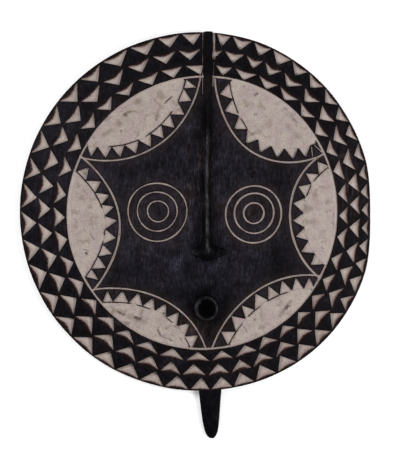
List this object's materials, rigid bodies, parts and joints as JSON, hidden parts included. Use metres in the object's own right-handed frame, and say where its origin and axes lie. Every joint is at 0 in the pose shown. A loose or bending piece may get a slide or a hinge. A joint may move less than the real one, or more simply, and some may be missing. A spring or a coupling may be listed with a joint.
{
  "type": "carved sun mask",
  "caption": "Round carved wooden mask: domed face with rows of triangular pits, leaf-shaped fields, ringed eyes, nose ridge, pierced ring mouth and a grip at the lower edge; hollow back.",
  "frame": {"origin": "middle of the part's outline in plan, on the surface that it lies on", "axes": "+X to the right of the face, +Y up the face from the grip to the top of the nose ridge, +Z out of the face, so the mask lies on its back"},
  "size_m": [0.5606, 0.651, 0.0766],
  "materials": {
    "carved_wood": "dry dark stain with pale pigment in the carving"
  },
  "bodies": {
    "root": {"mask": "carved_wood"}
  },
  "joints": []
}
